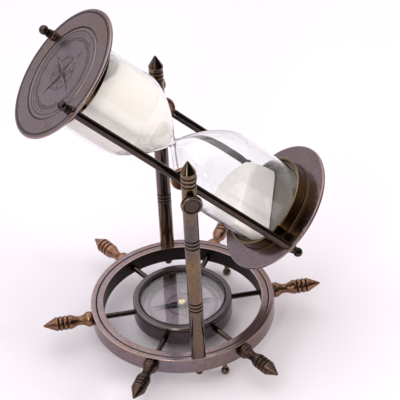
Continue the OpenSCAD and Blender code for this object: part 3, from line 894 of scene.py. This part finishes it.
# %% [markdown]
# ## The turning axis
#
# A thumb screw passes through each post and its tie rod and bites in a round nut on the inner
# side. Loosened, it lets the timer swing over, and tightened, it clamps it at any lean. All
# three kinds of turning lie along Y, so their place turns Z outwards, front or rear.
# %% Screws, spacers and pivot nuts
for side, word in ((-1, "front"), (1, "rear")):
    axis = Matrix.Translation((0, 0, pivot.z)) @ Matrix.Rotation(-side * math.pi / 2, 4, "X")
    _, head_r, stem_low, head_high = measure(f"thumb_screw_{word}", axis)
    stem_r, shoulder_r = 1.7 * MM, 3 * MM
    shoulder_at, back = post_reach + post_r + 0.25 * MM, head_high - 3.7 * MM
    screw = turned(f"{word}_thumb_screw", [
        (0, stem_low), (stem_r, stem_low), (stem_r, shoulder_at), (shoulder_r, shoulder_at),
        (shoulder_r, back), (head_r - 0.5 * MM, back), (head_r, back + 0.5 * MM),
        (head_r, back + 1.6 * MM), (head_r - 0.25 * MM, back + 1.8 * MM), (head_r, back + 2.0 * MM),
        (head_r, head_high - 0.6 * MM), (head_r - 0.6 * MM, head_high),
        (head_r - 1.4 * MM, head_high), (head_r - 2.0 * MM, head_high - 0.5 * MM),
        (0, head_high - 0.5 * MM)], axis, around=80, soft=0.25 * MM)
    hand_over(screw, f"screw_{word}", "black_bronze", f"thumb_screw_{word}")

    bush_in, bush_r, bush_low, bush_high = measure(f"pivot_spacer_{word}", axis)
    bush = turned(f"{word}_spacer", [
        (bush_in, bush_low), (bush_r, bush_low), (bush_r, bush_high), (bush_in, bush_high)], axis,
        closed=True, around=48)
    hand_over(bush, "timer", "black_bronze", f"pivot_spacer_{word}")

    nut_in, nut_r, nut_low, nut_high = measure(f"pivot_nut_{word}", axis)
    nut = turned(f"{word}_pivot_nut", [
        (nut_in, nut_low), (nut_r - 1.6 * MM, nut_low), (nut_r - 1.2 * MM, nut_low + 0.25 * MM),
        (nut_r - 0.5 * MM, nut_low), (nut_r, nut_low + 0.5 * MM), (nut_r, nut_high - 0.5 * MM),
        (nut_r - 0.5 * MM, nut_high), (nut_in, nut_high)], axis, closed=True, around=72)
    hand_over(nut, "timer", "copper_bronze", f"pivot_nut_{word}")

# %% [markdown]
# ## The timer's cage
#
# Two round plates are drawn together by two tie rods. Each plate carries a cup for the glass
# on its inner face and an engraved medallion on its outer one. The cage is drawn upright in
# its own frame, and the timer's place then leans it over.
# %% Tie rods
plate_gap = measure("end_plate_upper", timer_place)[2]
rod_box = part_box("tie_rod_rear")
rod_y = (rod_box[0].y + rod_box[1].y) / 2
for side, word in ((-1, "front"), (1, "rear")):
    rod_place = timer_place @ Matrix.Translation((0, side * rod_y, 0))
    _, rod_r, rod_low, rod_high = measure(f"tie_rod_{word}", rod_place)
    spigot_r = 2 * MM
    rod = turned(f"{word}_rod", [
        (0, rod_low), (spigot_r, rod_low), (spigot_r, -plate_gap), (rod_r, -plate_gap),
        (rod_r, plate_gap), (spigot_r, plate_gap), (spigot_r, rod_high), (0, rod_high)],
        rod_place, around=64)
    hand_over(rod, "timer", "black_bronze", f"tie_rod_{word}")


# %% Join pieces into one mesh
def joined(first, *others):
    """Adds other pieces' meshes to the first and removes them."""
    bm = bmesh.new()
    for piece in (first, *others):
        bm.from_mesh(piece.data)
    bm.to_mesh(first.data)
    bm.free()
    for piece in others:
        bpy.data.objects.remove(piece)
    return first


# %% Ball nuts on the rod ends
nut_tip = measure("rod_ball_nuts", timer_place)[3]
nut_floor = measure("end_plate_upper", timer_place)[3] + 0.02 * MM
ball = 3.3 * MM
nut_outline_up = ([(0, nut_floor), (3.6 * MM, nut_floor), (3.6 * MM, nut_floor + 1 * MM)]
                  + arc(2.5 * MM, nut_floor + 3.1 * MM, 0.6 * MM, -80, 80, 6)
                  + arc(0, nut_tip - ball, ball, -40, 90, 12))
upper_nut = turned("ball_nuts", nut_outline_up, Matrix.Translation((0, rod_y, 0)), around=48, soft=0.2 * MM)
lower_nut = turned("lower_nut", nut_outline_up, turned_over @ Matrix.Translation((0, rod_y, 0)), around=48,
                   soft=0.2 * MM)
ball_nuts = ring_of(joined(upper_nut, lower_nut), 2, "black_bronze")
ball_nuts.data.transform(timer_place)
hand_over(ball_nuts, "timer", "black_bronze", "rod_ball_nuts")

# %% Plates, medallions and cups
medallion_features = [
    (ring_line(32.2, 0.95), 1, 0), (ring_line(29.3, 0.30), 0.8, 0),
    (ticks(72, 24.4, 26.0, 0.26), 0.5, 0), (ticks(72, 23.6, 26.8, 0.40, every=6), 0.8, 0),
    (ring_line(11.8, 0.24), 0.6, 0), (star(4, 17.0, 3.6), 1, 0),
    (half_of(star(4, 17.0, 3.6), 4), 1, 0.6), (star(4, 10.4, 3.8, math.pi / 4), 0.75, 0.2)]
_, plate_r, plate_low, plate_high = measure("end_plate_upper", timer_place)
_, medal_r, medal_low, medal_high = measure("medallion_upper", timer_place)
cup_in, cup_foot_r, cup_low, cup_high = measure("cup_upper", timer_place)
_, liner_r, liner_low, liner_high = measure("liner_upper", timer_place)
felt_in, felt_floor = 29.7 * MM, plate_low - 1.28 * MM      # the glass sits on this floor
half_plate = (plate_high - plate_low) / 2
cup_r = cup_foot_r - 0.7 * MM
seat = plate_high - 1.1 * MM
print(f"plates {2 * plate_r / MM:.0f} mm across, {2 * plate_high / MM:.0f} mm over both")
for word, way in (("upper", Matrix()), ("lower", turned_over)):
    place = timer_place @ way
    plate = turned(f"{word}_plate", [(0, plate_low), (plate_r - half_plate, plate_low)]
                   + arc(plate_r - half_plate, plate_low + half_plate, half_plate, -75, 75, 8)
                   + [(plate_r - half_plate, plate_high), (plate_r - half_plate - 1.4 * MM, plate_high),
                      (plate_r - half_plate - 1.7 * MM, plate_high - 0.15 * MM),
                      (plate_r - half_plate - 2.0 * MM, plate_high), (cup_r + 0.9 * MM, plate_high),
                      (cup_r + 0.6 * MM, plate_high - 0.4 * MM), (cup_r, plate_high - 0.4 * MM),
                      (cup_r, seat), (0, seat)], place, around=192, soft=0.2 * MM)
    hand_over(plate, "timer", "patina_brass", f"end_plate_{word}")
    medal = relief(f"{word}_medallion", medal_r, medal_low, medal_high - 0.40 * MM, 0.40 * MM,
                   medallion_features, place)
    hand_over(medal, "timer", "engraved_brass", f"medallion_{word}")
    cup = turned(f"{word}_cup", [
        (cup_in, cup_high), (cup_in, cup_low + 0.5 * MM), (cup_in + 0.4 * MM, cup_low),
        (cup_r - 0.4 * MM, cup_low), (cup_r + 0.1 * MM, cup_low + 0.4 * MM), (cup_r, cup_low + 1.1 * MM),
        (cup_r, cup_high - 1.6 * MM), (cup_foot_r, cup_high - 1.2 * MM), (cup_foot_r, cup_high)],
        place, closed=True, around=160, soft=0.25 * MM)
    hand_over(cup, "timer", "yellow_brass", f"cup_{word}")
    liner = turned(f"{word}_liner", [
        (0, felt_floor), (felt_in, felt_floor), (felt_in, liner_low), (liner_r, liner_low),
        (liner_r, liner_high), (0, liner_high)], place, around=128, soft=0.3 * MM)
    hand_over(liner, "timer", "felt", f"liner_{word}")

# %% [markdown]
# ## The glass
#
# The glassblower's shape follows a rule: a tight round neck that opens quickly and then eases
# into a straight wall. That makes it a good piece for Geometry Nodes. Two grids are bent
# round the axis by the same sum, one for the outside and one set in by the wall's thickness,
# so the sizes are inputs of the tree and the wall stays even. The tree runs once, and its
# result is kept as a plain mesh.
# %% The bulb tree
def bulb_tree():
    """A tree that blows both bulbs and their neck as one wall of glass, in millimetres."""
    tree = bpy.data.node_groups.new("blown_bulbs", "GeometryNodeTree")
    face = tree.interface
    names = ("Bulb Radius", "Neck Radius", "Dome Length", "Bulb End", "End Round", "Wall")
    for name in names:
        face.new_socket(name, in_out="INPUT", socket_type="NodeSocketFloat")
    face.new_socket("Material", in_out="INPUT", socket_type="NodeSocketMaterial")
    face.new_socket("Geometry", in_out="OUTPUT", socket_type="NodeSocketGeometry")
    given = tree.nodes.new("NodeGroupInput")
    bulb, neck, dome, end, turn_in, wall, coat = (Wire(tree, s) for s in given.outputs[:7])
    place = part(tree, "GeometryNodeInputPosition")
    split = tree.nodes.new("ShaderNodeSeparateXYZ")
    plug(tree, split.inputs[0], place)
    run, round_it = Wire(tree, split.outputs[0]) * 2.0, Wire(tree, split.outputs[1]) * FULL_TURN
    far, side = run.math("ABSOLUTE"), run.math("SIGN")

    throat = 3.0                       # how tightly the neck turns outwards
    wall_share, bend_share = 0.78, 0.90     # where along the grid the wall and its last bend end

    def waist(along):
        return (along ** 2.0 + throat ** 2).math("SQRT") - throat

    along = (end - turn_in) * (far / wall_share).math("MINIMUM", 1.0) ** 1.4
    opened = 1.0 - waist(along.math("MINIMUM", dome)) / waist(dome)
    swell = (1.0 - opened.math("MAXIMUM", 0.0) ** 1.5).math("MAXIMUM", 0.0) ** 0.92
    body = neck + (bulb - neck) * swell
    corner = far.within(wall_share, bend_share) * (math.pi / 2)
    walls = []
    for inset in (0.0, wall):
        bend = turn_in - inset
        radius = (body - inset - bend * (1.0 - corner.math("COSINE"))
                  - (bulb - turn_in) * far.within(bend_share, 1.0)).math("MAXIMUM", 0.0)
        height = side * (along + bend * corner.math("SINE"))
        spot = part(tree, "ShaderNodeCombineXYZ", X=radius * round_it.math("COSINE") * MM,
                    Y=radius * round_it.math("SINE") * MM, Z=height * MM)
        grid = part(tree, "GeometryNodeMeshGrid", Size_X=1.0, Size_Y=1.0, Vertices_X=161, Vertices_Y=97)
        bent = part(tree, "GeometryNodeSetPosition", Geometry=grid, Position=spot)
        walls.append(part(tree, "GeometryNodeFlipFaces", Mesh=bent) if inset is wall else bent)
    both = tree.nodes.new("GeometryNodeJoinGeometry")
    for surface in walls:
        tree.links.new(surface.socket, both.inputs[0])
    closed = part(tree, "GeometryNodeMergeByDistance", Geometry=Wire(tree, both.outputs[0]), Distance=2e-6)
    smooth = part(tree, "GeometryNodeSetShadeSmooth", Geometry=closed)
    real = part(tree, "GeometryNodeRealizeInstances", Geometry=smooth)
    coated = part(tree, "GeometryNodeSetMaterial", Geometry=real, Material=coat)
    result = tree.nodes.new("NodeGroupOutput")
    plug(tree, result.inputs[0], coated)
    return tree


# %% Blow the glass
def volume_cm3(piece):
    """What a closed piece encloses, negative if its faces point inwards."""
    bm = bmesh.new()
    bm.from_mesh(piece.data)
    volume = bm.calc_volume(signed=True)
    bm.free()
    return volume * 1e6


_, bulb_r, _, bulb_end = measure("glass_upper", timer_place)
neck_mm, dome_mm, end_round_mm, wall_mm = 3.5, 42.0, 5.0, 1.5
bulbs = grown(as_object("blown_bulbs", bmesh.new()), bulb_tree(), bulb_radius=bulb_r / MM,
              neck_radius=neck_mm, dome_length=dome_mm, bulb_end=bulb_end / MM,
              end_round=end_round_mm, wall=wall_mm,
              material=finishes["blown_glass"])
if volume_cm3(bulbs) < 0:
    bulbs.data.flip_normals()
bulbs.data.transform(timer_place)
print(f"glass {volume_cm3(bulbs):.1f} cubic centimetres")
hand_over(bulbs, "timer", "blown_glass", "glass_upper", "glass_lower")

# %% [markdown]
# ## The sand
#
# Sand is a solid that the glass moulds: smooth against the wall, and rough where it is free.
# The CAD solids already fit the glass, so each is copied, remeshed into even small faces, and
# its free face is ruffled with layered noise. The heap in the low bulb also has a ridge where
# it last slid to one side: a slanted cut takes that side off, so the heap shown holds about
# half of what the CAD solid does.
# %% Pour the sand
def poured(name, node, free, cut=None, grain=0.9 * MM):
    """Sand from a CAD solid. Free and cut are each a point on a face and the face's direction:
    free is the solid's own loose face, and cut is one more, which trims the sand."""
    bm = bmesh.new()
    bm.from_mesh(frame["nodes"][node].data)
    bmesh.ops.remove_doubles(bm, verts=bm.verts, dist=1e-6)
    if cut:
        everything = bm.verts[:] + bm.edges[:] + bm.faces[:]
        bmesh.ops.bisect_plane(bm, geom=everything, plane_co=cut[0], plane_no=cut[1], clear_outer=True)
        bmesh.ops.holes_fill(bm, edges=[e for e in bm.edges if e.is_boundary])
    piece = as_object(name, bm)
    modifier = piece.modifiers.new("even", "REMESH")
    modifier.mode = "VOXEL"
    modifier.voxel_size = grain
    ready = piece.evaluated_get(bpy.context.evaluated_depsgraph_get())
    mesh = bpy.data.meshes.new_from_object(ready)
    piece.modifiers.remove(modifier)
    piece.data = mesh
    faces = [free] + ([cut] if cut else [])
    outwards = [vert.normal.copy() for vert in mesh.vertices]
    for vert, way_out in zip(mesh.vertices, outwards):
        ruffle = noise.fractal(vert.co * 160, 1.0, 2.0, 5)
        loose = max(1 - abs((vert.co - spot).dot(way)) / (1.3 * MM) for spot, way in faces)
        loose = min(max(loose, 0), 1)
        vert.co -= way_out * (0.12 + 0.9 * loose * (0.5 + 0.5 * ruffle)) * MM
    for polygon in mesh.polygons:
        polygon.use_smooth = True
    return piece


upper_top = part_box("sand_upper")[1].z
full_sand = poured("full_sand", "sand_upper", (Vector((0, 0, upper_top)), UP))
hand_over(full_sand, "timer", "sand", "sand_upper")
heap_at = timer_place @ Vector((0, 0, -70 * MM))
heap_face = Matrix.Rotation(math.radians(-30), 3, "Y") @ UP
slide_at = timer_place @ Vector((-4 * MM, 0, -66 * MM))
slide_face = Vector((0.48, -0.42, 0.77)).normalized()
heap_sand = poured("heap_sand", "sand_lower", (heap_at, heap_face), (slide_at, slide_face))
hand_over(heap_sand, "timer", "sand", "sand_lower")
print(f"sand {volume_cm3(full_sand):.0f} above and {volume_cm3(heap_sand):.0f} cubic centimetres below")

# %% [markdown]
#
# The finished pieces must fill the CAD's box and not leave it. Rounded corners and finer
# circles may move the box by a few hundredths of a millimetre.
# %% Print both boxes
visual_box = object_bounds()
for word, box in (("CAD", cad_box), ("visual", visual_box)):
    print(word, [[round(v / MM, 1) for v in corner] for corner in box])
